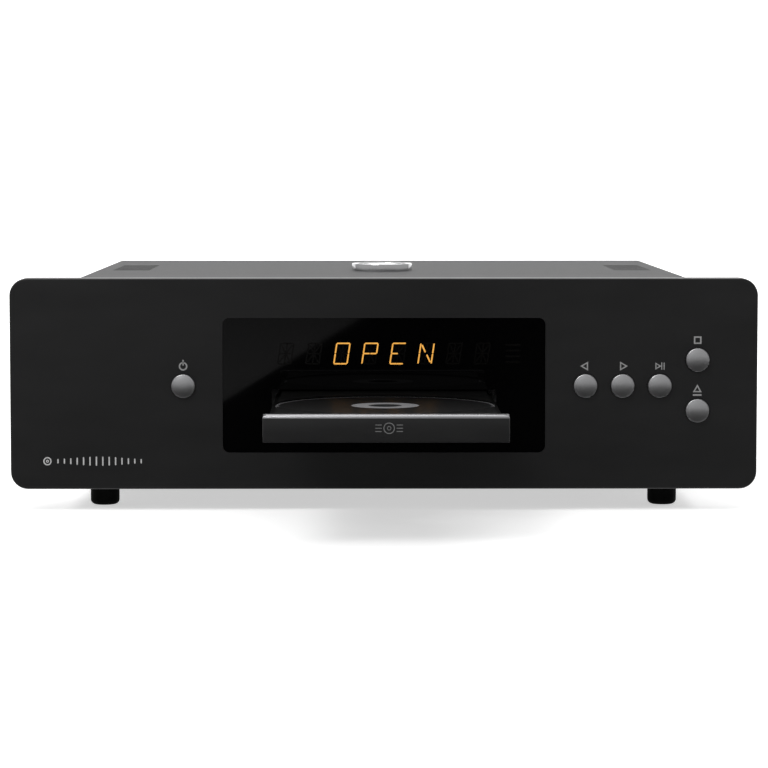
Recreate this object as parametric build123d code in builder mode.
"""Full-width compact disc player with its tray open.

Millimetres. +X is to the right, +Y runs into the case and +Z is up. The feet stand on Z = 0
and the origin is under the middle of the whole outline, open tray included.
"""

import os
from math import asin, ceil, degrees, pi

from build123d import *

# ---------------------------------------------------------------- front panel and window
PANEL_W = 432.0
PANEL_H = 122.0
PANEL_T = 16.0
PANEL_CORNER_R = 10.0
PANEL_EDGE_R = 1.0
PANEL_LIFT = 12.5
PANEL_SKIN = 3.0
BUTTON_SKIN = 4.0

WINDOW_W = 186.5
WINDOW_H = 78.0
WINDOW_R = 4.0
WINDOW_DROP = 0.8
WINDOW_INSET = 0.6
WINDOW_LIP = 3.0
WINDOW_LIP_T = 2.0
POCKET_MARGIN = 6.75

# ---------------------------------------------------------------- case
CASE_W = 370.0
CASE_DEPTH = 370.0
CASE_DROP = 2.0
CASE_FOLD_R = 5.0
SHEET = 1.5
BASE_RISE = 2.5
FLANGE_H = 13.0
PLATE_W = 404.0
PLATE_H = 114.0
SOCKET_REACH = 10.0

FOOT_D = 17.0
FOOT_EDGE_R = 3.0
FOOT_X = 164.5
FOOT_INSET = 35.0
BADGE_D = 38.4
BADGE_H = 4.6
VENT_ROWS = 15
VENT_PITCH = 6.4
VENT_L = 24.0
VENT_W = 2.6
VENT_X = 160.0
VENT_DEPTH = 230.0

# ---------------------------------------------------------------- tray, disc and loader
TRAY_TRAVEL = 168.0
TRAY_FRONT_W = 129.0
TRAY_FRONT_H = 14.4
TRAY_FRONT_T = 8.0
TRAY_FRONT_R = 1.2
TRAY_FRONT_DROP = 3.7
TRAY_W = 125.0
DECK_W = 118.0
DECK_DROP = 0.6
TRAY_L = 218.0
TRAY_THICK = 7.0
TONGUE_H = 4.0
TRAY_WALL = 3.0
RECESS_DEPTH = 2.0
SMALL_RECESS_D = 82.0
SMALL_RECESS_DEPTH = 1.0
DECK_SKIN = 4.4
DISC_D = 120.0
DISC_T = 1.2
DISC_HOLE_D = 15.0
DISC_BACK = 79.0
DISC_FIT = 0.75
SLOT_D = 36.0

LOADER_START = 19.0
LOADER_L = 215.0
LOADER_WALL = 2.5
LOADER_FLOOR_Z = 30.0
LOADER_FLOOR_T = 3.0
BRIDGE_T = 1.5
BRIDGE_L = 30.0
PUCK_D = 28.0

# ---------------------------------------------------------------- gears
MODULE = 1.0
FINE_MODULE = 0.8
TOOTH_SLACK = 0.28
DRIVE_TEETH = 16
WHEEL_TEETH = 40
PINION_TEETH = 12
SLED_TEETH = 14
PULLEY_R = 10.5
MOTOR_PULLEY_R = 4.0
BELT_T = 1.2
BELT_SPAN = 32.0
AXLE_D = 3.0

# ---------------------------------------------------------------- lifting chassis and laser
PIVOT_BACK = 110.0
CHASSIS_DROP = 16.3
CHASSIS_W = 90.0
CHASSIS_T = 3.0
CHASSIS_FRONT = 25.5
LIFT = 8.0
SLED_TRAVEL = 36.0
ROD_D = 3.0
ROD_X = 24.0
CAM_TRAVEL = 24.0
CAM_T = 2.5

# ---------------------------------------------------------------- buttons
BUTTON_D = 13.5
BUTTON_PROUD = 3.0
BUTTON_DOME = 1.3
BUTTON_TRAVEL = 1.0
BUTTON_Z = -1.1
BUTTONS = {
    "button_standby": (-116.0, BUTTON_Z),
    "button_previous": (116.4, BUTTON_Z),
    "button_next": (137.9, BUTTON_Z),
    "button_play": (159.4, BUTTON_Z),
    "button_stop": (181.2, 13.9),
    "button_eject": (181.2, -15.5),
}

# ---------------------------------------------------------------- clearances
GAP = 0.3
SLIDE_GAP = 0.5
RUN_GAP = 0.05
WINDOW_GAP = 0.1

# ---------------------------------------------------------------- levels and places worked out
FRONT_Y = (TRAY_TRAVEL - CASE_DEPTH - SOCKET_REACH) / 2
TRAY_Y = FRONT_Y - TRAY_TRAVEL
PANEL_MID_Z = PANEL_LIFT + PANEL_H / 2
WINDOW_Z = PANEL_MID_Z - WINDOW_DROP
BASE_Z = PANEL_LIFT + BASE_RISE
FLOOR_Z = BASE_Z + SHEET
CASE_TOP = PANEL_LIFT + PANEL_H - CASE_DROP
ROOF_Z = CASE_TOP - SHEET
INSIDE_X = CASE_W / 2 - SHEET
CASE_START = PANEL_T + SHEET
REAR_IN = CASE_DEPTH - SHEET

TRAY_TOP = PANEL_MID_Z - TRAY_FRONT_DROP
DECK_TOP = TRAY_TOP - DECK_DROP
TRAY_BOTTOM = DECK_TOP - TRAY_THICK
TONGUE_TOP = TRAY_BOTTOM + TONGUE_H
DECK_UNDER = DECK_TOP - DECK_SKIN
DISC_Z = DECK_TOP - RECESS_DEPTH
DISC_Y = TRAY_Y + DISC_BACK
LOADER_END = LOADER_START + LOADER_L
LOADER_TOP_Z = LOADER_FLOOR_Z + LOADER_FLOOR_T
LOADER_IN_X = TRAY_W / 2 + SLIDE_GAP
LOADER_OUT_X = LOADER_IN_X + LOADER_WALL
EAR_X = LOADER_OUT_X + 7.0
EAR_DEPTHS = (LOADER_START + 26.0, LOADER_END - 26.0)

GEAR_X = -44.0
GEAR_BACK = LOADER_START + 15.0
DRIVE_R = MODULE * DRIVE_TEETH / 2
WHEEL_R = FINE_MODULE * WHEEL_TEETH / 2
PINION_R = FINE_MODULE * PINION_TEETH / 2
SLED_R = FINE_MODULE * SLED_TEETH / 2
PULLEY_X = GEAR_X + WHEEL_R + PINION_R
MOTOR_X = PULLEY_X + BELT_SPAN
WHEEL_Z = TRAY_BOTTOM - 5.3
PULLEY_Z = TRAY_BOTTOM - 1.7
RACK_PITCH_X = GEAR_X - DRIVE_R

SPINDLE_BACK = DISC_BACK
PIVOT_DEPTH = SPINDLE_BACK + PIVOT_BACK
PIVOT_Z = DISC_Z - CHASSIS_DROP
CHASSIS_NOSE = PIVOT_BACK + CHASSIS_FRONT
LIFT_ANGLE = degrees(asin(LIFT / PIVOT_BACK))
CAM_DEPTH = PIVOT_DEPTH - CHASSIS_NOSE - 5.5
CAM_PIN_R = 2.0
PIN_DROP = (PIVOT_DEPTH - CAM_DEPTH - CAM_T / 2) * LIFT / PIVOT_BACK
PUCK_Z = DECK_TOP + 0.6
BRIDGE_Z = DECK_TOP + 2.7


def depth(distance):
    """Y of a point this far behind the panel's front face."""
    return FRONT_Y + distance


def wall(distance):
    """Upright plane facing the listener, this far behind the panel's front face."""
    return Plane(origin=(0, depth(distance), 0), x_dir=(1, 0, 0), z_dir=(0, -1, 0))


def flank(side):
    """Plane on the outside of the case's side, whose local x runs along Y."""
    return Plane(origin=(side * CASE_W / 2, 0, 0), x_dir=(0, 1, 0), z_dir=(side, 0, 0))


LIFTED = Plane(origin=(0, depth(PIVOT_DEPTH), PIVOT_Z))
CHASSIS = LIFTED.rotated((LIFT_ANGLE, 0, 0))


def chassis_spot(x, y, height):
    """Plane on the lowered chassis, placed from its pivot."""
    return Plane(origin=CHASSIS.from_local_coords((x, y, height)), x_dir=CHASSIS.x_dir,
                 z_dir=CHASSIS.z_dir)


def spur_profile(teeth, module):
    """Straight-flanked gear teeth on a root disc, drawn in the open sketch."""
    pitch_r = teeth * module / 2
    half = (module * pi / 2 - TOOTH_SLACK) / 2
    Circle(pitch_r - 1.25 * module)
    with PolarLocations(0, teeth):
        Polygon(
            (pitch_r - 1.4 * module, -half - 0.06 * module),
            (pitch_r - 0.5 * module, -half - 0.06 * module),
            (pitch_r, -half),
            (pitch_r + 0.5 * module, -half * 0.72),
            (pitch_r + module, -half * 0.38),
            (pitch_r + module, half * 0.38),
            (pitch_r + 0.5 * module, half * 0.72),
            (pitch_r, half),
            (pitch_r - 0.5 * module, half + 0.06 * module),
            (pitch_r - 1.4 * module, half + 0.06 * module),
        )




def rack_profile(pitch_x, first_gap_y, before, after, module, back_x):
    """Rack with teeth towards +X and a gap centred on first_gap_y, drawn in the open sketch."""
    pitch = pi * module
    half = (pitch / 2 - TOOTH_SLACK) / 2
    slope = 0.364 * module
    start = first_gap_y - before * pitch
    end = first_gap_y + after * pitch
    root_x = pitch_x - 1.25 * module
    with Locations(((back_x + root_x) / 2, (start + end) / 2)):
        Rectangle(root_x - back_x, end - start)
    with Locations(*[(pitch_x, start + (k + 0.5) * pitch) for k in range(before + after)]):
        Polygon(
            (-1.3 * module, -half - 1.3 * slope),
            (module, -half + slope),
            (module, half - slope),
            (-1.3 * module, half + 1.3 * slope),
        )


# ================================================================ front panel and its window
BUTTON_SPOTS = [(x, PANEL_MID_Z + z) for x, z in BUTTONS.values()]
LEFT_BOARD = (-116.0, PANEL_MID_Z + BUTTON_Z, 24.0, 22.0)
RIGHT_BOARD = (148.75, PANEL_MID_Z - 0.8, 88.0, 52.0)
BOARD_MARGIN = 1.0
PANEL_SCREWS = [(x, z) for x in (-140.0, 140.0) for z in (FLOOR_Z + 17.5, CASE_TOP - 10.5)]
PANEL_SCREWS += [(x, z) for x in (-196.0, 196.0) for z in (FLOOR_Z + 8.0, CASE_TOP - 10.5)]
M4_R = 2.0
M4_HEAD_R = 3.5
M4_HEAD_T = 2.2
M3_R = 1.5
M3_HEAD_R = 2.75
M3_HEAD_T = 1.7

with BuildPart() as front_panel:
    with BuildSketch(wall(0)):
        with Locations((0, PANEL_MID_Z)):
            RectangleRounded(PANEL_W, PANEL_H, PANEL_CORNER_R)
    extrude(amount=-PANEL_T)
    fillet(front_panel.faces().sort_by(Axis.Y)[0].edges(), PANEL_EDGE_R)
    with BuildSketch(wall(0)):
        with Locations((0, WINDOW_Z)):
            RectangleRounded(WINDOW_W, WINDOW_H, WINDOW_R)
        with Locations(*BUTTON_SPOTS):
            Circle(BUTTON_D / 2 + GAP)
    extrude(amount=-PANEL_T, mode=Mode.SUBTRACT)
    with BuildSketch(wall(PANEL_T)):
        with Locations((0, WINDOW_Z)):
            RectangleRounded(WINDOW_W + 2 * POCKET_MARGIN, WINDOW_H + 2 * POCKET_MARGIN,
                             WINDOW_R + POCKET_MARGIN)
    extrude(amount=PANEL_T - PANEL_SKIN, mode=Mode.SUBTRACT)
    with BuildSketch(wall(PANEL_T)):
        for x, z, width, height in (LEFT_BOARD, RIGHT_BOARD):
            with Locations((x, z)):
                RectangleRounded(width + 2 * BOARD_MARGIN, height + 2 * BOARD_MARGIN, 2.0)
    extrude(amount=PANEL_T - BUTTON_SKIN, mode=Mode.SUBTRACT)
    with BuildSketch(wall(PANEL_T)):
        with Locations(*PANEL_SCREWS):
            Circle(M4_R)
    extrude(amount=8.0, mode=Mode.SUBTRACT)
front_panel.part.label = "front_panel"

with BuildPart() as display_window:
    with BuildSketch(wall(WINDOW_INSET)):
        with Locations((0, WINDOW_Z)):
            RectangleRounded(WINDOW_W - 2 * WINDOW_GAP, WINDOW_H - 2 * WINDOW_GAP, WINDOW_R)
    extrude(amount=-(PANEL_SKIN - WINDOW_INSET))
    with BuildSketch(wall(PANEL_SKIN)):
        with Locations((0, WINDOW_Z)):
            RectangleRounded(WINDOW_W + 2 * WINDOW_LIP, WINDOW_H + 2 * WINDOW_LIP,
                             WINDOW_R + WINDOW_LIP)
    extrude(amount=-WINDOW_LIP_T)
    with BuildSketch(wall(0)):
        with Locations((0, TRAY_TOP - TRAY_FRONT_H / 2)):
            RectangleRounded(TRAY_FRONT_W + 2 * SLIDE_GAP, TRAY_FRONT_H + 2 * SLIDE_GAP, 1.0)
    extrude(amount=-PANEL_T, mode=Mode.SUBTRACT)
display_window.part.label = "display_window"

# ---------------------------------------------------------------- buttons, switches and boards
FLANGE_START = BUTTON_SKIN + GAP + 0.1
FLANGE_T = 1.2
BUTTON_FLANGE_D = BUTTON_D + 2.5
STEM_D = 3.2
SWITCH_START = FLANGE_START + FLANGE_T + BUTTON_TRAVEL + GAP
SWITCH_T = 3.4
SWITCH_W = 6.0
BOARD_T = 1.6
BOARD_START = SWITCH_START + SWITCH_T
STEM_END = SWITCH_START + SWITCH_T - BUTTON_TRAVEL - 1.0

buttons = {}
for name, (x, z) in BUTTONS.items():
    spot = Plane(origin=(x, FRONT_Y, PANEL_MID_Z + z), x_dir=(1, 0, 0), z_dir=(0, 0, 1))
    with BuildPart() as button:
        with BuildSketch(spot):
            with BuildLine():
                Line((0, STEM_END), (0, -BUTTON_PROUD))
                ThreePointArc((0, -BUTTON_PROUD),
                              (BUTTON_D / 4, -BUTTON_PROUD + BUTTON_DOME * 0.24),
                              (BUTTON_D / 2, -BUTTON_PROUD + BUTTON_DOME))
                Polyline((BUTTON_D / 2, -BUTTON_PROUD + BUTTON_DOME), (BUTTON_D / 2, FLANGE_START),
                         (BUTTON_FLANGE_D / 2, FLANGE_START),
                         (BUTTON_FLANGE_D / 2, FLANGE_START + FLANGE_T),
                         (STEM_D / 2, FLANGE_START + FLANGE_T), (STEM_D / 2, STEM_END),
                         (0, STEM_END))
            make_face()
        revolve(axis=Axis((x, FRONT_Y, PANEL_MID_Z + z), (0, 1, 0)))
    button.part.label = name
    buttons[name] = button

with BuildPart() as tact_switches:
    with BuildSketch(wall(SWITCH_START)):
        with Locations(*BUTTON_SPOTS):
            Rectangle(SWITCH_W, SWITCH_W)
    extrude(amount=-SWITCH_T)
    with BuildSketch(wall(SWITCH_START)):
        with Locations(*BUTTON_SPOTS):
            Circle(STEM_D / 2 + GAP)
    extrude(amount=-(STEM_END + BUTTON_TRAVEL + GAP - SWITCH_START), mode=Mode.SUBTRACT)
tact_switches.part.label = "tact_switches"

with BuildPart() as switch_boards:
    with BuildSketch(wall(BOARD_START)):
        for x, z, width, height in (LEFT_BOARD, RIGHT_BOARD):
            with Locations((x, z)):
                RectangleRounded(width, height, 1.0)
    extrude(amount=-BOARD_T)
switch_boards.part.label = "switch_boards"

PLATE_OPEN_W = WINDOW_W - 10.0
PLATE_OPEN_H = WINDOW_H - 5.0
POSTS = [(LEFT_BOARD[0] + side * 9.0, LEFT_BOARD[1]) for side in (-1, 1)]
POSTS += [(RIGHT_BOARD[0] + side * 40.0, RIGHT_BOARD[1] + up * 22.0)
          for side, up in ((-1, -1), (-1, 1), (1, 0))]
PLATE_Z = BASE_Z + PLATE_H / 2

with BuildPart() as front_bracket:
    with BuildSketch(wall(PANEL_T)):
        with Locations((0, PLATE_Z)):
            RectangleRounded(PLATE_W, PLATE_H, 6.0)
        with Locations((0, WINDOW_Z)):
            RectangleRounded(PLATE_OPEN_W, PLATE_OPEN_H, 3.0, mode=Mode.SUBTRACT)
        with Locations(*PANEL_SCREWS):
            Circle(M4_R + 0.2, mode=Mode.SUBTRACT)
    extrude(amount=-SHEET)
    with BuildSketch(wall(PANEL_T)):
        with Locations(*POSTS):
            Circle(2.5)
    extrude(amount=PANEL_T - BOARD_START - BOARD_T)
front_bracket.part.label = "front_bracket"

with BuildPart() as panel_screws:
    with BuildSketch(wall(CASE_START)):
        with Locations(*PANEL_SCREWS):
            Circle(M4_HEAD_R)
    extrude(amount=-M4_HEAD_T)
    with BuildSketch(wall(CASE_START + M4_HEAD_T)):
        with Locations(*PANEL_SCREWS):
            RegularPolygon(1.45, 6)
    extrude(amount=1.4, mode=Mode.SUBTRACT)
    with BuildSketch(wall(CASE_START)):
        with Locations(*PANEL_SCREWS):
            Circle(M4_R)
    extrude(amount=SHEET + 7.0)
panel_screws.part.label = "panel_screws"

# ---------------------------------------------------------------- display
DISPLAY_W = 190.0
DISPLAY_BOARD_H = 31.0
DISPLAY_BOARD_Z = WINDOW_Z + WINDOW_H / 2 - DISPLAY_BOARD_H / 2
MODULE_W = 150.0
MODULE_H = 22.0
MODULE_Z = PANEL_MID_Z + 17.5
MODULE_START = PANEL_SKIN + WINDOW_LIP_T + 1.0
DISPLAY_BOARD_START = PANEL_T - BOARD_T

with BuildPart() as display_board:
    with BuildSketch(wall(DISPLAY_BOARD_START)):
        with Locations((0, DISPLAY_BOARD_Z)):
            RectangleRounded(DISPLAY_W, DISPLAY_BOARD_H, 1.0)
    extrude(amount=-BOARD_T)
display_board.part.label = "display_board"

with BuildPart() as display_module:
    with BuildSketch(wall(MODULE_START)):
        with Locations((0, MODULE_Z)):
            Rectangle(MODULE_W, MODULE_H)
    extrude(amount=-(DISPLAY_BOARD_START - MODULE_START))
    fillet(display_module.edges().filter_by(Axis.Y), 1.0)
display_module.part.label = "display_module"

# ================================================================ case
CASE_SCREW_DEPTHS = (50.0, CASE_DEPTH / 2, CASE_DEPTH - 50.0)
CASE_SCREW_Z = BASE_Z + 8.0
FOOT_SPOTS = [(side * FOOT_X, depth(inset))
              for side in (-1, 1) for inset in (FOOT_INSET, CASE_DEPTH - FOOT_INSET)]
BOARD_LIFT = 8.0
POWER_BOARD_SHARE = 0.51
POWER_FRONT_SHARE = 0.12
TOROID_X = -128.0
TOROID_R = 46.0
TOROID_START = CASE_START + 66.0
TOROID_END = TOROID_START + 2 * TOROID_R
TOROID_DEPTH = TOROID_START + TOROID_R
MAIN_BOARD_START = LOADER_END + 1.5
MAIN_BOARD_END = CASE_DEPTH - 17.5
MAIN_BOARD_L = MAIN_BOARD_END - MAIN_BOARD_START
MAIN_BOARD = (55.0, (MAIN_BOARD_START + MAIN_BOARD_END) / 2, 230.0, MAIN_BOARD_L)
POWER_ROOM = CASE_DEPTH - TOROID_END
POWER_BOARD_L = POWER_ROOM * POWER_BOARD_SHARE
POWER_BOARD_START = TOROID_END + POWER_ROOM * POWER_FRONT_SHARE
POWER_BOARD_END = POWER_BOARD_START + POWER_BOARD_L
POWER_BOARD = (-127.0, (POWER_BOARD_START + POWER_BOARD_END) / 2, 90.0, POWER_BOARD_L)
BOARD_POSTS = [(x + sx * (w / 2 - 5.0), depth(d) + sy * (l / 2 - 5.0))
               for x, d, w, l in (MAIN_BOARD, POWER_BOARD) for sx in (-1, 1) for sy in (-1, 1)]
POST_R = 3.0
BOARD_CORNER_R = 2.0
EAR_SPOTS = [(side * EAR_X, depth(d)) for side in (-1, 1) for d in EAR_DEPTHS]
SCREW_LOCK_R = 0.1

with BuildPart() as base_pan:
    with BuildSketch(Plane.XY.offset(BASE_Z)):
        with Locations((0, depth((CASE_START + REAR_IN) / 2))):
            Rectangle(2 * INSIDE_X, REAR_IN - CASE_START)
    extrude(amount=FLANGE_H)
    with BuildSketch(Plane.XY.offset(FLOOR_Z)):
        with Locations((0, depth((CASE_START + REAR_IN) / 2))):
            Rectangle(2 * (INSIDE_X - SHEET), REAR_IN - CASE_START - 2 * SHEET)
    extrude(amount=FLANGE_H, mode=Mode.SUBTRACT)
    with BuildSketch(Plane.XY.offset(BASE_Z)):
        with Locations(*FOOT_SPOTS):
            Circle(M4_R + 0.2)
        with Locations((MAIN_BOARD[0], depth(MAIN_BOARD[1])), (POWER_BOARD[0], depth(POWER_BOARD[1]))):
            with GridLocations(9.0, 60.0, 7, 1):
                SlotOverall(50.0, 3.0, rotation=90)
    extrude(amount=SHEET, mode=Mode.SUBTRACT)
    with BuildSketch(Plane.XY.offset(FLOOR_Z)):
        with Locations(*BOARD_POSTS):
            Circle(POST_R)
    extrude(amount=BOARD_LIFT)
    with BuildSketch(Plane.XY.offset(FLOOR_Z)):
        with Locations(*BOARD_POSTS):
            Circle(M3_R)
    extrude(amount=BOARD_LIFT, mode=Mode.SUBTRACT)
    for side in (-1, 1):
        with BuildSketch(flank(side)):
            with Locations(*[(depth(d), side * CASE_SCREW_Z) for d in CASE_SCREW_DEPTHS]):
                Circle(M3_R)
        extrude(amount=-2 * SHEET, mode=Mode.SUBTRACT)
base_pan.part.label = "base_pan"

with BuildPart() as top_cover:
    with BuildSketch(wall(CASE_START)) as cover_outline:
        with Locations((0, (BASE_Z + CASE_TOP) / 2)):
            Rectangle(CASE_W, CASE_TOP - BASE_Z)
        fillet(cover_outline.vertices().group_by(Axis.Y)[-1], CASE_FOLD_R)
    extrude(amount=-(CASE_DEPTH - CASE_START))
    with BuildSketch(wall(CASE_START)) as cover_inside:
        with Locations((0, (BASE_Z + ROOF_Z) / 2)):
            Rectangle(2 * INSIDE_X, ROOF_Z - BASE_Z)
        fillet(cover_inside.vertices().group_by(Axis.Y)[-1], CASE_FOLD_R - SHEET)
    extrude(amount=-(CASE_DEPTH - CASE_START), mode=Mode.SUBTRACT)
    with BuildSketch(Plane.XY.offset(CASE_TOP)):
        with Locations((-VENT_X, depth(VENT_DEPTH)), (VENT_X, depth(VENT_DEPTH))):
            with GridLocations(VENT_L, VENT_PITCH, 1, VENT_ROWS):
                SlotOverall(VENT_L, VENT_W)
    extrude(amount=-2 * SHEET, mode=Mode.SUBTRACT)
    for side in (-1, 1):
        with BuildSketch(flank(side)):
            with Locations(*[(depth(d), side * CASE_SCREW_Z) for d in CASE_SCREW_DEPTHS]):
                Circle(M3_R + SCREW_LOCK_R)
        extrude(amount=-SHEET, mode=Mode.SUBTRACT)
top_cover.part.label = "top_cover"

with BuildPart() as case_screws:
    for side in (-1, 1):
        with BuildSketch(flank(side)):
            with Locations(*[(depth(d), side * CASE_SCREW_Z) for d in CASE_SCREW_DEPTHS]):
                Circle(M3_HEAD_R)
        extrude(amount=M3_HEAD_T)
        with BuildSketch(flank(side).offset(M3_HEAD_T)):
            with Locations(*[(depth(d), side * CASE_SCREW_Z) for d in CASE_SCREW_DEPTHS]):
                RegularPolygon(1.15, 6)
        extrude(amount=-1.1, mode=Mode.SUBTRACT)
        with BuildSketch(flank(side)):
            with Locations(*[(depth(d), side * CASE_SCREW_Z) for d in CASE_SCREW_DEPTHS]):
                Circle(M3_R)
        extrude(amount=-6.0)
case_screws.part.label = "case_screws"

with BuildPart() as top_badge:
    with BuildSketch(Plane.XY.offset(CASE_TOP)):
        with Locations((0, depth(CASE_DEPTH / 2))):
            Circle(BADGE_D / 2)
    extrude(amount=BADGE_H)
    fillet(top_badge.faces().sort_by(Axis.Z)[-1].edges(), 1.4)
    with BuildSketch(Plane.XY.offset(CASE_TOP + BADGE_H)):
        with Locations((0, depth(CASE_DEPTH / 2))):
            Circle(BADGE_D / 2 - 4.0)
    extrude(amount=-0.8, mode=Mode.SUBTRACT)
top_badge.part.label = "top_badge"

with BuildPart() as feet:
    with BuildSketch(Plane.XY):
        with Locations(*FOOT_SPOTS):
            Circle(FOOT_D / 2)
    extrude(amount=BASE_Z)
    fillet(feet.edges().group_by(Axis.Z)[0], FOOT_EDGE_R)
    with BuildSketch(Plane.XY.offset(BASE_Z)):
        with Locations(*FOOT_SPOTS):
            Circle(M4_R)
    extrude(amount=-9.0, mode=Mode.SUBTRACT)
feet.part.label = "feet"

with BuildPart() as foot_screws:
    with BuildSketch(Plane.XY.offset(FLOOR_Z)):
        with Locations(*FOOT_SPOTS):
            Circle(M4_HEAD_R)
    extrude(amount=M4_HEAD_T)
    with BuildSketch(Plane.XY.offset(FLOOR_Z)):
        with Locations(*FOOT_SPOTS):
            Circle(M4_R)
    extrude(amount=-(SHEET + 8.0))
    with BuildSketch(Plane.XY.offset(FLOOR_Z + M4_HEAD_T)):
        with Locations(*FOOT_SPOTS):
            Rectangle(4.0, 0.9)
            Rectangle(0.9, 4.0)
    extrude(amount=-1.2, mode=Mode.SUBTRACT)
foot_screws.part.label = "foot_screws"

# ---------------------------------------------------------------- rear panel and sockets
SOCKET_Z = BASE_Z + 58.0
INLET_X = -138.0
INLET_Z = BASE_Z + 40.0
INLET_W = 27.0
INLET_H = 19.5
INLET_BODY_L = 22.0
INLET_CAVITY = (24.0, 16.5, 17.0)
SWITCH_X = -94.0
RCA_X = (96.0, 122.0, 4.0)
RCA_R = 4.15
RCA_BORE_R = 1.65
XLR_X = (34.0, 65.0)
XLR_R = 11.5
XLR_CUP_R = 9.5
OPTICAL_X = -24.0
ROCKER_W = 12.4
ROCKER_H = 20.0
ROCKER_CAVITY = (13.4, 21.8, 9.0)
ROCKER_TILT = 9.0

with BuildPart() as rear_panel:
    with BuildSketch(wall(REAR_IN)):
        with Locations((0, (BASE_Z + ROOF_Z) / 2)):
            Rectangle(2 * INSIDE_X, ROOF_Z - BASE_Z)
        with Locations((INLET_X, INLET_Z)):
            Rectangle(INLET_W, INLET_H, mode=Mode.SUBTRACT)
        with Locations((SWITCH_X, INLET_Z)):
            Rectangle(ROCKER_CAVITY[0] + 4.0, ROCKER_CAVITY[1] + 4.0, mode=Mode.SUBTRACT)
        with Locations(*[(x, SOCKET_Z) for x in RCA_X]):
            Circle(5.0, mode=Mode.SUBTRACT)
        with Locations(*[(x, SOCKET_Z) for x in XLR_X]):
            Circle(XLR_R + GAP, mode=Mode.SUBTRACT)
        with Locations((OPTICAL_X, SOCKET_Z)):
            Rectangle(10.0, 10.0, mode=Mode.SUBTRACT)
    extrude(amount=-SHEET)
    fold_r = CASE_FOLD_R - SHEET
    fillet(rear_panel.edges().filter_by(Axis.Y).group_by(Axis.Z)[-1], fold_r)
rear_panel.part.label = "rear_panel"

with BuildPart() as mains_inlet:
    with BuildSketch(wall(CASE_DEPTH)):
        with Locations((INLET_X, INLET_Z)):
            RectangleRounded(48.0, 24.0, 4.0)
    extrude(amount=-2.5)
    with BuildSketch(wall(CASE_DEPTH)):
        with Locations((INLET_X, INLET_Z)):
            Rectangle(INLET_W, INLET_H)
    extrude(amount=INLET_BODY_L)
    with BuildSketch(wall(CASE_DEPTH + 2.5)):
        with Locations((INLET_X, INLET_Z)):
            RectangleRounded(INLET_CAVITY[0], INLET_CAVITY[1], 2.5)
    extrude(amount=INLET_CAVITY[2], mode=Mode.SUBTRACT)
mains_inlet.part.label = "mains_inlet"

with BuildPart() as rca_insulators:
    with BuildSketch(wall(CASE_DEPTH + SOCKET_REACH)):
        with Locations(*[(x, SOCKET_Z) for x in RCA_X]):
            Circle(RCA_R - 0.8)
            Circle(RCA_BORE_R, mode=Mode.SUBTRACT)
    extrude(amount=SOCKET_REACH + 4.0)
    with BuildSketch(wall(REAR_IN)):
        with Locations(*[(x, SOCKET_Z) for x in RCA_X]):
            Circle(7.0)
    extrude(amount=2.5)
rca_insulators.part.label = "rca_insulators"

with BuildPart() as rca_jacks:
    with BuildSketch(wall(CASE_DEPTH + SOCKET_REACH)):
        with Locations(*[(x, SOCKET_Z) for x in RCA_X]):
            Circle(RCA_R)
            Circle(RCA_R - 0.8, mode=Mode.SUBTRACT)
    extrude(amount=SOCKET_REACH + SHEET)
    with BuildSketch(wall(CASE_DEPTH)):
        with Locations(*[(x, SOCKET_Z) for x in RCA_X]):
            RegularPolygon(6.4, 6)
            Circle(RCA_R - 0.1, mode=Mode.SUBTRACT)
    extrude(amount=-2.2)
rca_jacks.part.label = "rca_jacks"

with BuildPart() as xlr_sockets:
    with BuildSketch(wall(CASE_DEPTH)):
        with Locations(*[(x, SOCKET_Z) for x in XLR_X]):
            RectangleRounded(26.0, 31.0, 3.0)
    extrude(amount=-2.0)
    with BuildSketch(wall(CASE_DEPTH)):
        with Locations(*[(x, SOCKET_Z) for x in XLR_X]):
            Circle(XLR_R)
    extrude(amount=18.0)
    with BuildSketch(wall(CASE_DEPTH + 2.0)):
        with Locations(*[(x, SOCKET_Z) for x in XLR_X]):
            Circle(XLR_CUP_R)
    extrude(amount=15.0, mode=Mode.SUBTRACT)
xlr_sockets.part.label = "xlr_sockets"

XLR_PINS = [(x + dx, SOCKET_Z + dz) for x in XLR_X for dx, dz in ((-4.0, 2.0), (4.0, 2.0), (0, -4.0))]
with BuildPart() as socket_pins:
    with BuildSketch(wall(CASE_DEPTH - 13.0)):
        with Locations(*XLR_PINS):
            Circle(1.2)
    extrude(amount=-12.5)
    with BuildSketch(wall(CASE_DEPTH - 14.5)):
        with Locations((INLET_X - 7.0, INLET_Z - 2.0), (INLET_X + 7.0, INLET_Z - 2.0),
                       (INLET_X, INLET_Z + 2.2)):
            Rectangle(2.0, 4.0)
    extrude(amount=-14.0)
socket_pins.part.label = "socket_pins"

with BuildPart() as optical_output:
    with BuildSketch(wall(CASE_DEPTH)):
        with Locations((OPTICAL_X, SOCKET_Z)):
            RectangleRounded(13.0, 13.0, 1.0)
    extrude(amount=-1.5)
    with BuildSketch(wall(CASE_DEPTH)):
        with Locations((OPTICAL_X, SOCKET_Z)):
            Rectangle(10.0, 10.0)
    extrude(amount=12.0)
    with BuildSketch(wall(CASE_DEPTH + 1.5)):
        with Locations((OPTICAL_X, SOCKET_Z)):
            Rectangle(6.2, 6.2)
    extrude(amount=9.0, mode=Mode.SUBTRACT)
optical_output.part.label = "optical_output"

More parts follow.
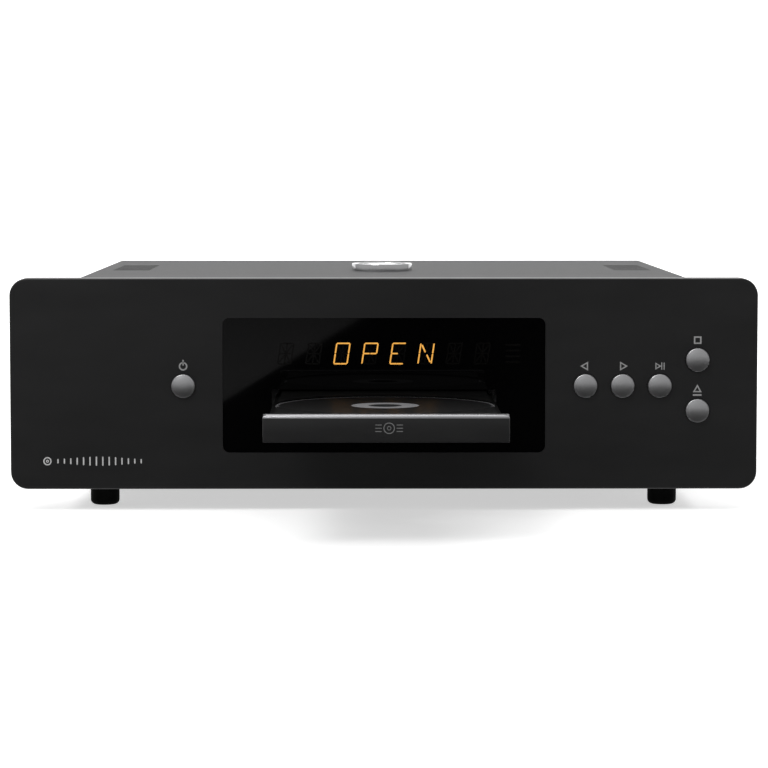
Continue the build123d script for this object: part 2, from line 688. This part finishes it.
with BuildPart() as power_switch:
    with BuildSketch(wall(CASE_DEPTH)):
        with Locations((SWITCH_X, INLET_Z)):
            RectangleRounded(ROCKER_CAVITY[0] + 8.0, ROCKER_CAVITY[1] + 8.0, 2.0)
    extrude(amount=-1.5)
    with BuildSketch(wall(CASE_DEPTH)):
        with Locations((SWITCH_X, INLET_Z)):
            Rectangle(ROCKER_CAVITY[0] + 4.0, ROCKER_CAVITY[1] + 4.0)
    extrude(amount=18.0)
    with BuildSketch(wall(CASE_DEPTH + 1.5)):
        with Locations((SWITCH_X, INLET_Z)):
            Rectangle(ROCKER_CAVITY[0], ROCKER_CAVITY[1])
    extrude(amount=ROCKER_CAVITY[2], mode=Mode.SUBTRACT)
power_switch.part.label = "power_switch"

ROCKER_Y = depth(CASE_DEPTH - 2.0)
rocker_plane = Plane(origin=(SWITCH_X - ROCKER_W / 2, ROCKER_Y, INLET_Z), x_dir=(0, 1, 0),
                     z_dir=(1, 0, 0)).rotated((ROCKER_TILT, 0, 0))
with BuildPart() as power_rocker:
    with BuildSketch(rocker_plane):
        Polygon((4.6, -ROCKER_H / 2), (3.2, 0), (4.6, ROCKER_H / 2), (-1.0, ROCKER_H / 2),
                (-3.2, 2.5), (-3.2, -2.5), (-1.0, -ROCKER_H / 2))
    extrude(amount=ROCKER_W)
power_rocker.part.label = "power_rocker"

# ================================================================ electronics
BOARD_Z = FLOOR_Z + BOARD_LIFT
BOARD_TOP = BOARD_Z + BOARD_T

with BuildPart() as main_board:
    with BuildSketch(Plane.XY.offset(BOARD_Z)):
        with Locations((MAIN_BOARD[0], depth(MAIN_BOARD[1]))):
            RectangleRounded(MAIN_BOARD[2], MAIN_BOARD[3], BOARD_CORNER_R)
        with Locations(*BOARD_POSTS):
            Circle(M3_R + 0.1, mode=Mode.SUBTRACT)
    extrude(amount=BOARD_T)
main_board.part.label = "main_board"

with BuildPart() as power_board:
    with BuildSketch(Plane.XY.offset(BOARD_Z)):
        with Locations((POWER_BOARD[0], depth(POWER_BOARD[1]))):
            RectangleRounded(POWER_BOARD[2], POWER_BOARD[3], BOARD_CORNER_R)
        with Locations(*BOARD_POSTS):
            Circle(M3_R + 0.1, mode=Mode.SUBTRACT)
    extrude(amount=BOARD_T)
power_board.part.label = "power_board"

CHIP = 16.0
CHIP_T = 1.8
SMALL_CHIP_PITCH = 0.12 * MAIN_BOARD_L
with BuildPart() as board_chips:
    with BuildSketch(Plane.XY.offset(BOARD_TOP)):
        with Locations((MAIN_BOARD[0] - 40.0, depth(MAIN_BOARD[1])),
                       (MAIN_BOARD[0], depth(MAIN_BOARD[1] - 0.1 * MAIN_BOARD_L)),
                       (MAIN_BOARD[0] + 34.0, depth(MAIN_BOARD[1] + 0.07 * MAIN_BOARD_L))):
            Rectangle(CHIP, CHIP)
        with Locations((MAIN_BOARD[0] + 70.0, depth(MAIN_BOARD[1] - 0.09 * MAIN_BOARD_L))):
            with GridLocations(CHIP, SMALL_CHIP_PITCH, 2, 3):
                Rectangle(8.0, 5.0)
    extrude(amount=CHIP_T)
board_chips.part.label = "board_chips"

SIGNAL_CAP_R = 5.0
SIGNAL_CAP_H = 16.0
SIGNAL_CAP_PITCH = 20.0
SIGNAL_CAP_MARGIN = 24.5
SIGNAL_CAP_ROWS = int((MAIN_BOARD_L - SIGNAL_CAP_MARGIN) / SIGNAL_CAP_PITCH)
CAPACITOR_SPOTS = [(MAIN_BOARD[0] + dx, depth(MAIN_BOARD_START + SIGNAL_CAP_MARGIN + row * SIGNAL_CAP_PITCH))
                   for dx in (-86.0, -70.0, 98.0) for row in range(SIGNAL_CAP_ROWS)]
with BuildPart() as board_capacitors:
    with BuildSketch(Plane.XY.offset(BOARD_TOP)):
        with Locations(*CAPACITOR_SPOTS):
            Circle(SIGNAL_CAP_R)
    extrude(amount=SIGNAL_CAP_H)
    fillet(board_capacitors.edges().group_by(Axis.Z)[-1], 0.8)
board_capacitors.part.label = "board_capacitors"

SUPPLY_CAP_R = 11.0
SUPPLY_CAP_H = 36.0
SUPPLY_CAP_PITCH = 27.0
SUPPLY_CAP_ROWS = int(POWER_BOARD_L / 40.0)
SUPPLY_CAP_SPOTS = [(POWER_BOARD[0] - 8.0 + side * SUPPLY_CAP_PITCH / 2,
                     depth(POWER_BOARD_END - 22.5 - row * SUPPLY_CAP_PITCH))
                    for side in (-1, 1) for row in range(SUPPLY_CAP_ROWS)]
with BuildPart() as smoothing_capacitors:
    with BuildSketch(Plane.XY.offset(BOARD_TOP)):
        with Locations(*SUPPLY_CAP_SPOTS):
            Circle(SUPPLY_CAP_R)
    extrude(amount=SUPPLY_CAP_H)
    fillet(smoothing_capacitors.edges().group_by(Axis.Z)[-1], 1.5)
smoothing_capacitors.part.label = "smoothing_capacitors"

HEAT_SINK_H = 34.0
HEAT_SINK_T = 3.0
FIN_L = 10.0
with BuildPart() as heat_sinks:
    with BuildSketch(Plane.XY.offset(BOARD_TOP)):
        for x in (POWER_BOARD[0] - 20.0, POWER_BOARD[0] + 20.0):
            with Locations((x, depth(POWER_BOARD_START + 14.0))):
                Rectangle(32.0, HEAT_SINK_T)
            with Locations((x, depth(POWER_BOARD_START + 20.0))):
                with GridLocations(5.0, 1.0, 7, 1):
                    Rectangle(1.4, FIN_L)
    extrude(amount=HEAT_SINK_H)
heat_sinks.part.label = "heat_sinks"

TOROID_HOLE_R = 14.0
TOROID_H = 42.0
with BuildPart() as transformer:
    with BuildSketch(Plane.XY.offset(FLOOR_Z)):
        with Locations((TOROID_X, depth(TOROID_DEPTH))):
            Circle(TOROID_R)
            Circle(TOROID_HOLE_R, mode=Mode.SUBTRACT)
    extrude(amount=TOROID_H)
    fillet(transformer.edges().filter_by(GeomType.CIRCLE), 6.0)
transformer.part.label = "transformer"

CLAMP_Z = FLOOR_Z + TOROID_H
with BuildPart() as transformer_clamp:
    with BuildSketch(Plane.XY.offset(CLAMP_Z)):
        with Locations((TOROID_X, depth(TOROID_DEPTH))):
            Circle(TOROID_R - 10.0)
    extrude(amount=2.0)
    with BuildSketch(Plane.XY.offset(CLAMP_Z + 2.0)):
        with Locations((TOROID_X, depth(TOROID_DEPTH))):
            RegularPolygon(5.8, 6)
    extrude(amount=4.0)
    with BuildSketch(Plane.XY.offset(FLOOR_Z)):
        with Locations((TOROID_X, depth(TOROID_DEPTH))):
            Circle(3.0)
    extrude(amount=TOROID_H)
transformer_clamp.part.label = "transformer_clamp"

RIBBON_X = LOADER_OUT_X + 11.5
with BuildPart() as ribbon_cable:
    with BuildSketch(Plane.YZ.offset(RIBBON_X - 8.5)):
        with BuildLine():
            FilletPolyline((depth(PANEL_T), MODULE_Z + 4.0), (depth(PANEL_T + 18.0), MODULE_Z + 4.0),
                           (depth(PANEL_T + 18.0), LOADER_TOP_Z + 14.0),
                           (depth(MAIN_BOARD_START + 18.5), LOADER_TOP_Z + 14.0),
                           (depth(MAIN_BOARD_START + 18.5), BOARD_TOP), radius=6.0)
        trace(line_width=0.8)
    extrude(amount=17.0)
ribbon_cable.part.label = "ribbon_cable"

# ================================================================ loader
WINDOW_IN_FLOOR_X = CHASSIS_W / 2 + 5.0
FLOOR_OPEN_START = CAM_DEPTH + CAM_T + 5.5
LEDGE_TOP = TRAY_BOTTOM - GAP
LEDGE_IN_X = TRAY_W / 2 - 4.5
CAP_BOTTOM = TONGUE_TOP + GAP
CAP_IN_X = DISC_D / 2 + 1.0
EAR_HOLE_R = M3_R + 0.1

with BuildPart() as loader_frame:
    with BuildSketch(Plane.XY.offset(LOADER_FLOOR_Z)):
        with Locations((0, depth((LOADER_START + LOADER_END) / 2))):
            Rectangle(2 * LOADER_OUT_X, LOADER_L)
        with Locations(*EAR_SPOTS):
            Rectangle(15.0, 16.0)
        with Locations((0, depth((FLOOR_OPEN_START + LOADER_END - 14.0) / 2))):
            Rectangle(2 * WINDOW_IN_FLOOR_X, LOADER_END - 14.0 - FLOOR_OPEN_START,
                      mode=Mode.SUBTRACT)
        with Locations(*EAR_SPOTS):
            Circle(EAR_HOLE_R, mode=Mode.SUBTRACT)
    extrude(amount=LOADER_FLOOR_T)
    for side in (-1, 1):
        with BuildSketch(wall(LOADER_START)):
            with BuildLine():
                Polyline((side * LOADER_OUT_X, LOADER_FLOOR_Z), (side * LOADER_OUT_X, CAP_BOTTOM + 2.4),
                         (side * CAP_IN_X, CAP_BOTTOM + 2.4), (side * CAP_IN_X, CAP_BOTTOM),
                         (side * LOADER_IN_X, CAP_BOTTOM), (side * LOADER_IN_X, LEDGE_TOP),
                         (side * LEDGE_IN_X, LEDGE_TOP), (side * LEDGE_IN_X, LEDGE_TOP - 2.4),
                         (side * LOADER_IN_X, LEDGE_TOP - 2.4), (side * LOADER_IN_X, LOADER_FLOOR_Z),
                         close=True)
            make_face()
        extrude(amount=-LOADER_L)
    with BuildSketch(Plane.XY.offset(LOADER_TOP_Z)):
        with Locations((GEAR_X, depth(GEAR_BACK)), (PULLEY_X, depth(GEAR_BACK))):
            Circle(AXLE_D / 2 + 2.0)
    extrude(amount=WHEEL_Z - GAP - LOADER_TOP_Z)
    with BuildSketch(Plane.XY.offset(LOADER_TOP_Z)):
        with Locations((GEAR_X, depth(GEAR_BACK)), (PULLEY_X, depth(GEAR_BACK))):
            Circle(AXLE_D / 2)
    extrude(amount=DECK_UNDER - 0.4 - LOADER_TOP_Z)
    with BuildSketch(Plane.XY.offset(LOADER_TOP_Z)):
        with Locations((0, depth(CAM_DEPTH - GAP - 1.0)), (0, depth(CAM_DEPTH + CAM_T + GAP + 0.6))):
            Rectangle(110.0, 1.2)
    extrude(amount=3.8)
    for side in (-1, 1):
        with BuildSketch(Plane.YZ.offset(side * (WINDOW_IN_FLOOR_X + 1.5) - 1.5)):
            with Locations((depth(PIVOT_DEPTH), (LOADER_FLOOR_Z + PIVOT_Z + 6.0) / 2)):
                Rectangle(12.0, PIVOT_Z + 6.0 - LOADER_FLOOR_Z)
            with Locations((depth(PIVOT_DEPTH), PIVOT_Z)):
                Circle(CAM_PIN_R + RUN_GAP, mode=Mode.SUBTRACT)
        extrude(amount=3.0)
loader_frame.part.label = "loader_frame"

with BuildPart() as loader_pillars:
    with BuildSketch(Plane.XY.offset(FLOOR_Z)):
        with Locations(*EAR_SPOTS):
            RegularPolygon(4.6, 6)
    extrude(amount=LOADER_FLOOR_Z - FLOOR_Z)
    with BuildSketch(Plane.XY.offset(LOADER_FLOOR_Z)):
        with Locations(*EAR_SPOTS):
            Circle(M3_R)
    extrude(amount=-7.0, mode=Mode.SUBTRACT)
loader_pillars.part.label = "loader_pillars"

with BuildPart() as inner_screws:
    for spots, height, shank in ((EAR_SPOTS, LOADER_TOP_Z, 8.0), (BOARD_POSTS, BOARD_TOP, BOARD_T + 6.0)):
        with BuildSketch(Plane.XY.offset(height)):
            with Locations(*spots):
                Circle(M3_HEAD_R)
        extrude(amount=M3_HEAD_T)
        with BuildSketch(Plane.XY.offset(height + M3_HEAD_T)):
            with Locations(*spots):
                Rectangle(3.0, 0.7)
                Rectangle(0.7, 3.0)
        extrude(amount=-0.9, mode=Mode.SUBTRACT)
        with BuildSketch(Plane.XY.offset(height)):
            with Locations(*spots):
                Circle(M3_R)
        extrude(amount=-shank)
inner_screws.part.label = "inner_screws"

with BuildPart() as clamp_bridge:
    with BuildSketch(wall(SPINDLE_BACK - BRIDGE_L / 2)):
        with BuildLine():
            Polyline((-LOADER_OUT_X, PIVOT_Z), (-LOADER_OUT_X, BRIDGE_Z), (LOADER_OUT_X, BRIDGE_Z),
                     (LOADER_OUT_X, PIVOT_Z), (LOADER_OUT_X + BRIDGE_T, PIVOT_Z),
                     (LOADER_OUT_X + BRIDGE_T, BRIDGE_Z + BRIDGE_T),
                     (-LOADER_OUT_X - BRIDGE_T, BRIDGE_Z + BRIDGE_T),
                     (-LOADER_OUT_X - BRIDGE_T, PIVOT_Z), close=True)
        make_face()
    extrude(amount=-BRIDGE_L)
    with BuildSketch(Plane.XY.offset(BRIDGE_Z)):
        with Locations((0, depth(SPINDLE_BACK))):
            Circle(PUCK_D / 2 - 3.0)
    extrude(amount=BRIDGE_T, mode=Mode.SUBTRACT)
clamp_bridge.part.label = "clamp_bridge"

with BuildPart() as clamp_puck:
    with BuildSketch(Plane.XY.offset(PUCK_Z)):
        with Locations((0, depth(SPINDLE_BACK))):
            Circle(PUCK_D / 2)
    extrude(amount=BRIDGE_Z - GAP - PUCK_Z)
    with BuildSketch(Plane.XY.offset(PUCK_Z)):
        with Locations((0, depth(SPINDLE_BACK))):
            Circle(PUCK_D / 2 - 4.0)
    extrude(amount=BRIDGE_Z + BRIDGE_T + GAP - PUCK_Z)
    with BuildSketch(Plane.XY.offset(BRIDGE_Z + BRIDGE_T + GAP)):
        with Locations((0, depth(SPINDLE_BACK))):
            Circle(PUCK_D / 2)
    extrude(amount=2.0)
clamp_puck.part.label = "clamp_puck"

# ---------------------------------------------------------------- tray drive
MOTOR_R = 10.0
SHAFT_D = 2.0
DRIVE_H = DECK_UNDER - 0.4 - (TRAY_BOTTOM + 0.1)
with BuildPart() as loading_motor:
    with BuildSketch(Plane.XY.offset(LOADER_TOP_Z)):
        with Locations((MOTOR_X, depth(GEAR_BACK))):
            Circle(MOTOR_R)
    extrude(amount=WHEEL_Z - 1.0 - LOADER_TOP_Z)
    with BuildSketch(Plane.XY.offset(WHEEL_Z - 1.0)):
        with Locations((MOTOR_X, depth(GEAR_BACK))):
            Circle(SHAFT_D / 2 + RUN_GAP)
    extrude(amount=-12.0, mode=Mode.SUBTRACT)
loading_motor.part.label = "loading_motor"

with BuildPart() as motor_pulley:
    with BuildSketch(Plane.XY.offset(WHEEL_Z - 10.0)):
        with Locations((MOTOR_X, depth(GEAR_BACK))):
            Circle(SHAFT_D / 2)
    extrude(amount=PULLEY_Z - WHEEL_Z + 10.0)
    for start, height, radius in ((PULLEY_Z - 1.4, 1.2, MOTOR_PULLEY_R + 1.0),
                                  (PULLEY_Z - 0.2, 1.7, MOTOR_PULLEY_R),
                                  (PULLEY_Z + 1.5, 0.8, MOTOR_PULLEY_R + 1.0)):
        with BuildSketch(Plane.XY.offset(start)):
            with Locations((MOTOR_X, depth(GEAR_BACK))):
                Circle(radius)
        extrude(amount=height)
motor_pulley.part.label = "motor_pulley"

with BuildPart() as pulley_gear:
    with BuildSketch(Plane(origin=(PULLEY_X, depth(GEAR_BACK), WHEEL_Z)).rotated(
            (0, 0, 180.0 / PINION_TEETH))):
        spur_profile(PINION_TEETH, FINE_MODULE)
    extrude(amount=2.5)
    for start, height, radius in ((PULLEY_Z - 0.7, 0.5, PULLEY_R + 0.8),
                                  (PULLEY_Z - 0.2, 1.7, PULLEY_R),
                                  (PULLEY_Z + 1.5, 0.8, PULLEY_R + 0.8)):
        with BuildSketch(Plane(origin=(PULLEY_X, depth(GEAR_BACK), start))):
            Circle(radius)
        extrude(amount=height)
    with BuildSketch(Plane(origin=(PULLEY_X, depth(GEAR_BACK), WHEEL_Z))):
        Circle(AXLE_D / 2 + 1.2)
    extrude(amount=PULLEY_Z - WHEEL_Z)
    with BuildSketch(Plane(origin=(PULLEY_X, depth(GEAR_BACK), WHEEL_Z))):
        Circle(AXLE_D / 2 + RUN_GAP)
    extrude(amount=12.0, mode=Mode.SUBTRACT)
pulley_gear.part.label = "pulley_gear"

with BuildPart() as drive_gear:
    gear_centre = Plane(origin=(GEAR_X, depth(GEAR_BACK), WHEEL_Z))
    with BuildSketch(gear_centre):
        spur_profile(WHEEL_TEETH, FINE_MODULE)
    extrude(amount=2.5)
    with BuildSketch(gear_centre.offset(2.5)):
        Circle(DRIVE_R - 1.5 * MODULE)
    extrude(amount=TRAY_BOTTOM + 0.1 - WHEEL_Z - 2.5)
    with BuildSketch(gear_centre.offset(TRAY_BOTTOM + 0.1 - WHEEL_Z)):
        spur_profile(DRIVE_TEETH, MODULE)
    extrude(amount=DRIVE_H)
    with BuildSketch(gear_centre):
        Circle(AXLE_D / 2 + RUN_GAP)
    extrude(amount=12.0, mode=Mode.SUBTRACT)
drive_gear.part.label = "drive_gear"

BELT_GAP = 0.08
with BuildPart() as loading_belt:
    for growth, mode in ((BELT_GAP + BELT_T, Mode.ADD), (BELT_GAP, Mode.SUBTRACT)):
        with BuildSketch(Plane.XY.offset(PULLEY_Z + 0.1)):
            with BuildLine():
                CenterArc((PULLEY_X, depth(GEAR_BACK)), PULLEY_R + growth, 0, 360)
                CenterArc((MOTOR_X, depth(GEAR_BACK)), MOTOR_PULLEY_R + growth, 0, 360)
            make_hull()
        extrude(amount=1.1, mode=mode)
loading_belt.part.label = "loading_belt"

# ================================================================ tray and disc
TRAY_MID_Y = TRAY_Y + (TRAY_FRONT_T + TRAY_L) / 2
TRAY_BODY_L = TRAY_L - TRAY_FRONT_T
RACK_Y = depth(GEAR_BACK)
RACK_TEETH = ceil((TRAY_TRAVEL + 4.0) / (pi * MODULE))

with BuildPart() as tray_front:
    with BuildSketch(Plane(origin=(0, TRAY_Y, 0), x_dir=(1, 0, 0), z_dir=(0, -1, 0))):
        with Locations((0, TRAY_TOP - TRAY_FRONT_H / 2)):
            Rectangle(TRAY_FRONT_W, TRAY_FRONT_H)
    extrude(amount=-TRAY_FRONT_T)
    fillet(tray_front.faces().sort_by(Axis.Y)[0].edges(), TRAY_FRONT_R)
tray_front.part.label = "tray_front"

with BuildPart() as tray:
    with BuildSketch(Plane.XY.offset(TRAY_BOTTOM)):
        with Locations((0, TRAY_MID_Y)):
            Rectangle(TRAY_W, TRAY_BODY_L)
    extrude(amount=TRAY_THICK)
    with BuildSketch(Plane.XY.offset(TONGUE_TOP)):
        for side in (-1, 1):
            with Locations((side * (DECK_W + TRAY_W) / 4, TRAY_MID_Y)):
                Rectangle((TRAY_W - DECK_W) / 2, TRAY_BODY_L)
    extrude(amount=TRAY_THICK, mode=Mode.SUBTRACT)
    with BuildSketch(Plane.XY.offset(TRAY_BOTTOM)):
        with Locations((0, TRAY_MID_Y)):
            Rectangle(TRAY_W - 4 * TRAY_WALL, TRAY_BODY_L - 2 * TRAY_WALL)
    extrude(amount=DECK_UNDER - TRAY_BOTTOM, mode=Mode.SUBTRACT)
    with BuildSketch(Plane(origin=(0, DISC_Y, DISC_Z))):
        Circle(DISC_D / 2 + DISC_FIT)
    extrude(amount=RECESS_DEPTH, mode=Mode.SUBTRACT)
    with BuildSketch(Plane(origin=(0, DISC_Y, DISC_Z - SMALL_RECESS_DEPTH))):
        Circle(SMALL_RECESS_D / 2)
    extrude(amount=SMALL_RECESS_DEPTH, mode=Mode.SUBTRACT)
    with BuildSketch(Plane(origin=(0, DISC_Y, TRAY_BOTTOM))):
        Circle(SLOT_D / 2)
        with Locations((0, DISC_D / 4)):
            Rectangle(SLOT_D, DISC_D / 2)
    extrude(amount=TRAY_THICK, mode=Mode.SUBTRACT)
    with BuildSketch(Plane.XY.offset(TRAY_BOTTOM + 0.2)):
        rack_profile(RACK_PITCH_X, RACK_Y, RACK_TEETH, 1, MODULE, -TRAY_W / 2 + 2 * TRAY_WALL)
    extrude(amount=DECK_UNDER - TRAY_BOTTOM - 0.2)
tray.part.label = "tray"

with BuildPart() as compact_disc:
    with BuildSketch(Plane(origin=(0, DISC_Y, DISC_Z))):
        Circle(DISC_D / 2)
        Circle(DISC_HOLE_D / 2, mode=Mode.SUBTRACT)
    extrude(amount=DISC_T)
compact_disc.part.label = "compact_disc"

# ================================================================ lifting chassis and laser
SPINDLE_Y = -PIVOT_BACK
SLED_Y = SPINDLE_Y + 24.0
SLED_L = 30.0
SLED_W = 58.0
SLED_GEAR_X = SLED_W / 2 + 2.0 * FINE_MODULE + 1.4 + SLED_R
SLED_GEAR_Y = SPINDLE_Y + 48.0
ROD_Z = 6.0
ROD_ENDS = (SLED_Y - SLED_L / 2 - 4.0, SLED_Y + SLED_L / 2 + SLED_TRAVEL + 10.0)
PLATTER_D = 30.0
BOSS_D = 14.4
SPINDLE_MOTOR_R = 12.0
SLED_MOTOR_R = 7.0

with BuildPart() as traverse_chassis:
    with BuildSketch(chassis_spot(0, 0, -CHASSIS_T / 2)):
        with Locations((0, (6.0 - CHASSIS_NOSE) / 2)):
            Rectangle(CHASSIS_W, CHASSIS_NOSE + 6.0)
        with Locations((0, SLED_Y + SLED_TRAVEL / 2 + 4.0)):
            Rectangle(36.0, SLED_L + SLED_TRAVEL - 12.0, mode=Mode.SUBTRACT)
        with Locations((0, SPINDLE_Y)):
            Circle(4.0, mode=Mode.SUBTRACT)
        with Locations((SLED_GEAR_X, SLED_GEAR_Y)):
            Circle(2.5, mode=Mode.SUBTRACT)
    extrude(amount=CHASSIS_T)
    with BuildSketch(chassis_spot(0, 0, CHASSIS_T / 2)):
        with Locations(*[(side * ROD_X, y) for side in (-1, 1) for y in
                         (ROD_ENDS[0] + 1.5, ROD_ENDS[1] - 1.5)]):
            Rectangle(6.0, 3.0)
    extrude(amount=ROD_Z + 2.5 - CHASSIS_T / 2)
    with BuildSketch(Plane(origin=CHASSIS.from_local_coords((0, ROD_ENDS[0], ROD_Z)),
                           x_dir=(1, 0, 0), z_dir=-CHASSIS.y_dir)):
        with Locations((-ROD_X, 0), (ROD_X, 0)):
            Circle(ROD_D / 2)
    extrude(amount=-(ROD_ENDS[1] - ROD_ENDS[0]), mode=Mode.SUBTRACT)
    with BuildSketch(Plane(origin=CHASSIS.from_local_coords((0, -CHASSIS_NOSE, 0)),
                           x_dir=(1, 0, 0), z_dir=-CHASSIS.y_dir)):
        Circle(CAM_PIN_R)
    extrude(amount=6.4)
    with BuildSketch(Plane.YZ.offset(-WINDOW_IN_FLOOR_X - 3.0)):
        with Locations((depth(PIVOT_DEPTH), PIVOT_Z)):
            Circle(CAM_PIN_R)
    extrude(amount=2 * WINDOW_IN_FLOOR_X + 6.0)
traverse_chassis.part.label = "traverse_chassis"

with BuildPart() as guide_rods:
    with BuildSketch(Plane(origin=CHASSIS.from_local_coords((0, ROD_ENDS[0], ROD_Z)),
                           x_dir=(1, 0, 0), z_dir=-CHASSIS.y_dir)):
        with Locations((-ROD_X, 0), (ROD_X, 0)):
            Circle(ROD_D / 2)
    extrude(amount=-(ROD_ENDS[1] - ROD_ENDS[0]))
guide_rods.part.label = "guide_rods"

with BuildPart() as spindle_motor:
    with BuildSketch(chassis_spot(0, SPINDLE_Y, -CHASSIS_T / 2)):
        Circle(SPINDLE_MOTOR_R)
    extrude(amount=-9.0)
    with BuildSketch(chassis_spot(0, SPINDLE_Y, -CHASSIS_T / 2)):
        Circle(SHAFT_D / 2 + RUN_GAP)
    extrude(amount=-6.0, mode=Mode.SUBTRACT)
spindle_motor.part.label = "spindle_motor"

with BuildPart() as turntable:
    for start, height, radius in ((-CHASSIS_T / 2 - 5.0, CHASSIS_DROP, SHAFT_D / 2),
                                  (CHASSIS_T / 2 + 1.0, CHASSIS_DROP - 4.0, 3.5),
                                  (CHASSIS_DROP - GAP - 2.5, 2.5, PLATTER_D / 2),
                                  (CHASSIS_DROP - GAP, 1.2, BOSS_D / 2)):
        with BuildSketch(chassis_spot(0, SPINDLE_Y, start)):
            Circle(radius)
        extrude(amount=height)
turntable.part.label = "turntable"

with BuildPart() as sled_motor:
    with BuildSketch(chassis_spot(SLED_GEAR_X, SLED_GEAR_Y, -CHASSIS_T / 2)):
        Circle(SLED_MOTOR_R)
    extrude(amount=-10.0)
    with BuildSketch(chassis_spot(SLED_GEAR_X, SLED_GEAR_Y, -CHASSIS_T / 2)):
        Circle(SHAFT_D / 2 + RUN_GAP)
    extrude(amount=-6.0, mode=Mode.SUBTRACT)
sled_motor.part.label = "sled_motor"

with BuildPart() as sled_gear:
    with BuildSketch(chassis_spot(SLED_GEAR_X, SLED_GEAR_Y, -CHASSIS_T / 2 - 5.0)):
        Circle(SHAFT_D / 2)
    extrude(amount=CHASSIS_T / 2 + 9.0)
    with BuildSketch(chassis_spot(SLED_GEAR_X, SLED_GEAR_Y, CHASSIS_T / 2 + 1.5)):
        spur_profile(SLED_TEETH, FINE_MODULE)
    extrude(amount=3.5)
sled_gear.part.label = "sled_gear"

with BuildPart() as laser_sled:
    with BuildSketch(chassis_spot(0, 0, CHASSIS_T / 2 + 1.5)):
        with Locations((0, SLED_Y)):
            RectangleRounded(SLED_W, SLED_L, 2.0)
    extrude(amount=7.0)
    with BuildSketch(chassis_spot(0, 0, CHASSIS_T / 2 + 8.5)):
        with Locations((0, SLED_Y)):
            Circle(6.5)
    extrude(amount=1.6)
    with BuildSketch(Plane(origin=CHASSIS.from_local_coords((0, SLED_Y - SLED_L / 2, ROD_Z)),
                           x_dir=(1, 0, 0), z_dir=-CHASSIS.y_dir)):
        with Locations((-ROD_X, 0), (ROD_X, 0)):
            Circle(ROD_D / 2 + RUN_GAP)
    extrude(amount=-SLED_L, mode=Mode.SUBTRACT)
    with BuildSketch(chassis_spot(0, 0, CHASSIS_T / 2 + 1.5)):
        rack_profile(SLED_GEAR_X - SLED_R, SLED_GEAR_Y, 16, 2, FINE_MODULE, SLED_W / 2 - 1.0)
    extrude(amount=3.5)
laser_sled.part.label = "laser_sled"

with BuildPart() as objective_lens:
    with BuildSketch(chassis_spot(0, SLED_Y, CHASSIS_T / 2 + 10.6)):
        Circle(4.0)
    extrude(amount=1.5)
    fillet(objective_lens.edges().sort_by(Axis.Z)[-1], 0.6)
objective_lens.part.label = "objective_lens"

PIN_Z_LOW = PIVOT_Z - PIN_DROP
CAM_TOP = PIVOT_Z + 6.0
with BuildPart() as cam_slider:
    with BuildSketch(wall(CAM_DEPTH)):
        with BuildLine():
            Polyline((-12.0, LOADER_TOP_Z + GAP), (CAM_TRAVEL + 12.0, LOADER_TOP_Z + GAP),
                     (CAM_TRAVEL + 12.0, CAM_TOP), (CAM_TRAVEL - 8.0, CAM_TOP),
                     (-12.0, PIN_Z_LOW + 5.0), close=True)
        make_face()
        with BuildLine():
            slot_line = Line((0, PIN_Z_LOW), (CAM_TRAVEL, PIVOT_Z))
        trace(slot_line, line_width=2 * (CAM_PIN_R + 0.4), mode=Mode.SUBTRACT)
        with Locations((0, PIN_Z_LOW), (CAM_TRAVEL, PIVOT_Z)):
            Circle(CAM_PIN_R + 0.4, mode=Mode.SUBTRACT)
    extrude(amount=-CAM_T)
cam_slider.part.label = "cam_slider"

# ================================================================ write every piece
PIECES = [
    front_panel, display_window, tact_switches, switch_boards, front_bracket, panel_screws,
    display_board, display_module, base_pan, top_cover, case_screws, top_badge, feet,
    foot_screws, rear_panel, mains_inlet, rca_insulators, rca_jacks, xlr_sockets, socket_pins,
    optical_output, power_switch, power_rocker, main_board, power_board, board_chips,
    board_capacitors, smoothing_capacitors, heat_sinks, transformer, transformer_clamp,
    ribbon_cable, loader_frame, loader_pillars,
    inner_screws, clamp_bridge, clamp_puck, loading_motor, motor_pulley, pulley_gear,
    drive_gear, loading_belt, tray_front, tray, compact_disc, traverse_chassis, guide_rods,
    spindle_motor, turntable, sled_motor, sled_gear, laser_sled, objective_lens, cam_slider,
]

os.makedirs("parts", exist_ok=True)
main_board.part.label = "main_board"
power_board.part.label = "power_board"
for piece in PIECES + list(buttons.values()):
    export_step(piece.part, f"parts/{piece.part.label}.step")
